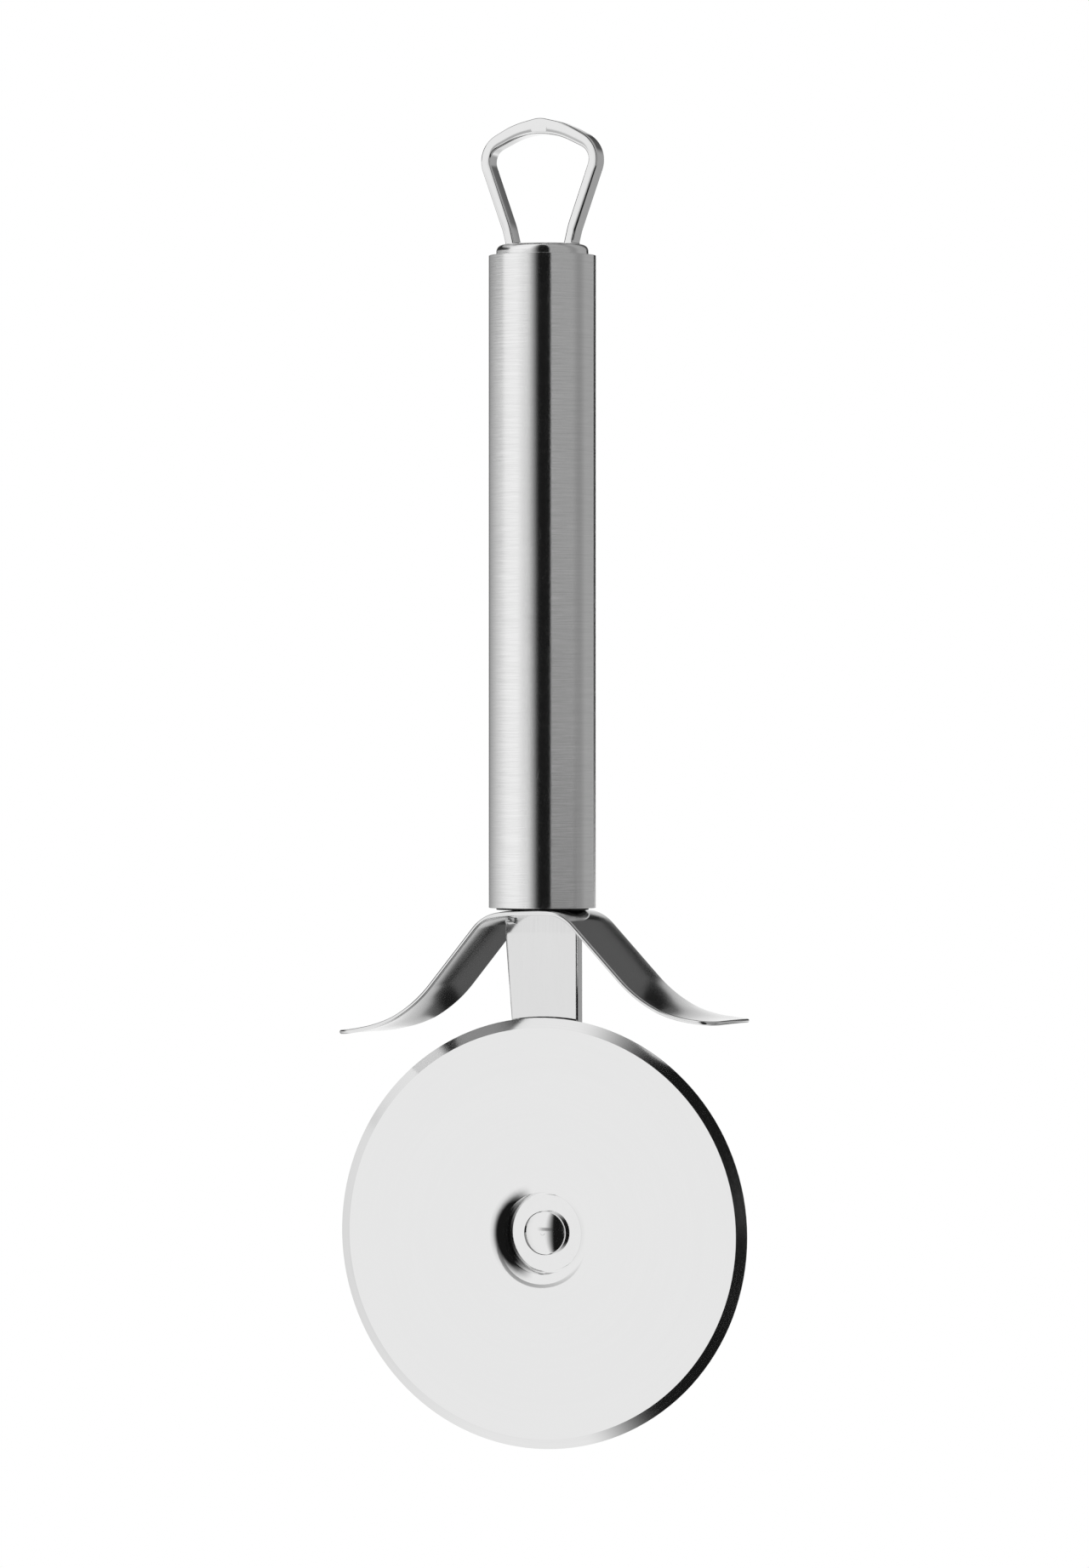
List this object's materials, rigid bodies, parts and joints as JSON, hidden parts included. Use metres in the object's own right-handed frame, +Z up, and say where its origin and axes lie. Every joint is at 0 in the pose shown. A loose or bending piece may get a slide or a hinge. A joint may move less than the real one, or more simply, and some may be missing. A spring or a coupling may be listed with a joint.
{
  "type": "pizza cutter wheel",
  "caption": "Stainless steel pizza cutter: a bevelled disc blade spinning on a rivet below a bent finger guard, with a round tube handle and a hanging loop.",
  "frame": {"origin": "inside top of the hanging loop, where a hook bears", "axes": "+Z up along the handle, -Y towards the side that shows the rivet head, +X to the right of that side"},
  "size_m": [0.073, 0.0202, 0.2251],
  "materials": {
    "satin_steel": "satin, brushed round the handle",
    "loop_steel": "polished",
    "guard_steel": "polished",
    "neck_steel": "polished",
    "blade_steel": "mirror polished",
    "rivet_steel": "polished",
    "plain_steel": "plain, unpolished"
  },
  "bodies": {
    "holder": {"handle_tube": "satin_steel", "top_cap": "satin_steel", "hanging_loop": "loop_steel", "bottom_cap": "plain_steel", "finger_guard": "guard_steel", "neck": "neck_steel", "axle_rivet": "rivet_steel", "front_washer": "rivet_steel", "bearing_bush": "plain_steel", "rear_washer": "plain_steel", "tail_washer": "plain_steel"},
    "wheel": {"cutting_wheel": "blade_steel"}
  },
  "joints": [
    {"name": "wheel_spin", "type": "hinge", "parent": "holder", "child": "wheel", "pos_m": [0, 0.00305, -0.18594], "axis": [0, 1, 0], "continuous": true}
  ]
}
